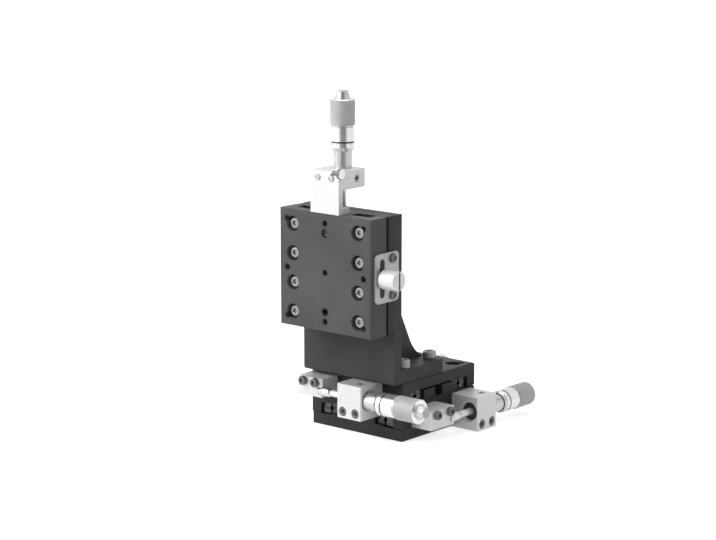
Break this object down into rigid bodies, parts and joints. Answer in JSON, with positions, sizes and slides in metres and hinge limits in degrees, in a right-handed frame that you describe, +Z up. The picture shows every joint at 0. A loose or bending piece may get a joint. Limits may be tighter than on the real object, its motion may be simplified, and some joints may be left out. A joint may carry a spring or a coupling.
{
  "type": "xyz translation stage",
  "caption": "Three-axis linear translation stage: stacked crossed-roller slides, an angle bracket for the vertical axis, and a micrometer head on each axis",
  "frame": {"origin": "centre of the base plate's underside, with the two horizontal slides at mid travel", "axes": "+Z up along the vertical slide; -Y out of the vertical slide's mounting face; +X to the right of that face"},
  "size_m": [0.097, 0.12, 0.1772],
  "materials": {
    "black_anodised": "black anodised, satin",
    "silver_anodised": "clear anodised, fine machined",
    "ground_steel": "ground",
    "satin_chrome": "satin chrome",
    "stainless_screw": "bright",
    "cage_brass": "plain",
    "spring_steel": "drawn wire"
  },
  "bodies": {
    "base": {"base_plate": "black_anodised", "base_side_screws": "stainless_screw", "y_inner_rails": "ground_steel", "y_micrometer_bracket": "silver_anodised", "y_micrometer_sleeve": "satin_chrome", "y_stem_set_screw": "stainless_screw", "y_lock_plate": "silver_anodised", "y_return_spring": "spring_steel"},
    "y_carriage": {"middle_block": "black_anodised", "middle_side_screws": "stainless_screw", "y_outer_rails": "ground_steel", "y_outer_rail_screws": "stainless_screw", "y_anvil_block": "silver_anodised", "y_anvil_button": "ground_steel", "y_spring_drawbar": "spring_steel", "x_inner_rails": "ground_steel", "x_micrometer_bracket": "silver_anodised", "x_micrometer_sleeve": "satin_chrome", "x_stem_set_screw": "stainless_screw", "x_lock_plate": "silver_anodised", "x_return_spring": "spring_steel"},
    "x_carriage": {"top_table": "black_anodised", "table_side_screws": "stainless_screw", "x_outer_rails": "ground_steel", "x_outer_rail_screws": "stainless_screw", "x_anvil_block": "silver_anodised", "x_anvil_button": "ground_steel", "x_spring_drawbar": "spring_steel", "angle_bracket": "black_anodised", "angle_bracket_screws": "stainless_screw", "z_fixed_plate": "black_anodised", "z_inner_rails": "ground_steel", "z_lock_plate": "silver_anodised", "z_return_spring": "spring_steel"},
    "z_carriage": {"z_slide_block": "black_anodised", "z_outer_rails": "ground_steel", "z_outer_rail_screws": "stainless_screw", "z_micrometer_bracket": "silver_anodised", "z_bracket_screws": "stainless_screw", "z_micrometer_sleeve": "satin_chrome", "z_stem_set_screw": "stainless_screw", "z_spring_drawbar": "spring_steel"},
    "x_micrometer": {"x_spindle": "ground_steel", "x_thimble": "satin_chrome"},
    "x_roller_set": {"x_cages": "cage_brass", "x_rollers": "ground_steel"},
    "x_knob": {"x_lock_knob": "silver_anodised"},
    "y_micrometer": {"y_spindle": "ground_steel", "y_thimble": "satin_chrome"},
    "y_roller_set": {"y_cages": "cage_brass", "y_rollers": "ground_steel"},
    "y_knob": {"y_lock_knob": "silver_anodised"},
    "z_micrometer": {"z_spindle": "ground_steel", "z_thimble": "satin_chrome"},
    "z_roller_set": {"z_cages": "cage_brass", "z_rollers": "ground_steel"},
    "z_knob": {"z_lock_knob": "silver_anodised"}
  },
  "joints": [
    {"name": "y_slide", "type": "slide", "parent": "base", "child": "y_carriage", "axis": [0, 1, 0], "range_m": [-0.0065, 0.0065]},
    {"name": "x_slide", "type": "slide", "parent": "y_carriage", "child": "x_carriage", "axis": [1, 0, 0], "range_m": [-0.0065, 0.0065]},
    {"name": "z_slide", "type": "slide", "parent": "x_carriage", "child": "z_carriage", "axis": [0, 0, 1], "range_m": [-0.0065, 0.0065]},
    {"name": "y_micrometer_turn", "type": "hinge", "parent": "y_carriage", "child": "y_micrometer", "pos_m": [0.0415, 0.0026, 0.0096], "axis": [0, 1, 0], "range_deg": [-4680, 4680]},
    {"name": "y_roller_slide", "type": "slide", "parent": "base", "child": "y_roller_set", "axis": [0, 1, 0], "range_m": [-0.00325, 0.00325]},
    {"name": "y_lock_turn", "type": "hinge", "parent": "y_carriage", "child": "y_knob", "pos_m": [-0.0312, 0, 0.0108], "axis": [-1, 0, 0], "range_deg": [-90, 90]},
    {"name": "x_micrometer_turn", "type": "hinge", "parent": "x_carriage", "child": "x_micrometer", "pos_m": [-0.0072, -0.0415, 0.0217], "axis": [1, 0, 0], "range_deg": [-4680, 4680]},
    {"name": "x_roller_slide", "type": "slide", "parent": "y_carriage", "child": "x_roller_set", "axis": [1, 0, 0], "range_m": [-0.00325, 0.00325]},
    {"name": "x_lock_turn", "type": "hinge", "parent": "x_carriage", "child": "x_knob", "pos_m": [0, 0.0312, 0.0229], "axis": [0, 1, 0], "range_deg": [-90, 90]},
    {"name": "z_micrometer_turn", "type": "hinge", "parent": "x_carriage", "child": "z_micrometer", "pos_m": [0, -0.0407, 0.11522], "axis": [0, 0, 1], "range_deg": [-4680, 4680]},
    {"name": "z_roller_slide", "type": "slide", "parent": "x_carriage", "child": "z_roller_set", "axis": [0, 0, 1], "range_m": [-0.00325, 0.00325]},
    {"name": "z_lock_turn", "type": "hinge", "parent": "z_carriage", "child": "z_knob", "pos_m": [0.0312, -0.0473, 0.0872], "axis": [1, 0, 0], "range_deg": [-90, 90]}
  ],
  "couplings": [
    {"joint": "y_micrometer_turn", "follows": "y_slide", "rad_per_m": 12566},
    {"joint": "y_roller_slide", "follows": "y_slide", "ratio": 0.5},
    {"joint": "x_micrometer_turn", "follows": "x_slide", "rad_per_m": 12566},
    {"joint": "x_roller_slide", "follows": "x_slide", "ratio": 0.5},
    {"joint": "z_micrometer_turn", "follows": "z_slide", "rad_per_m": -12566},
    {"joint": "z_roller_slide", "follows": "z_slide", "ratio": 0.5}
  ]
}
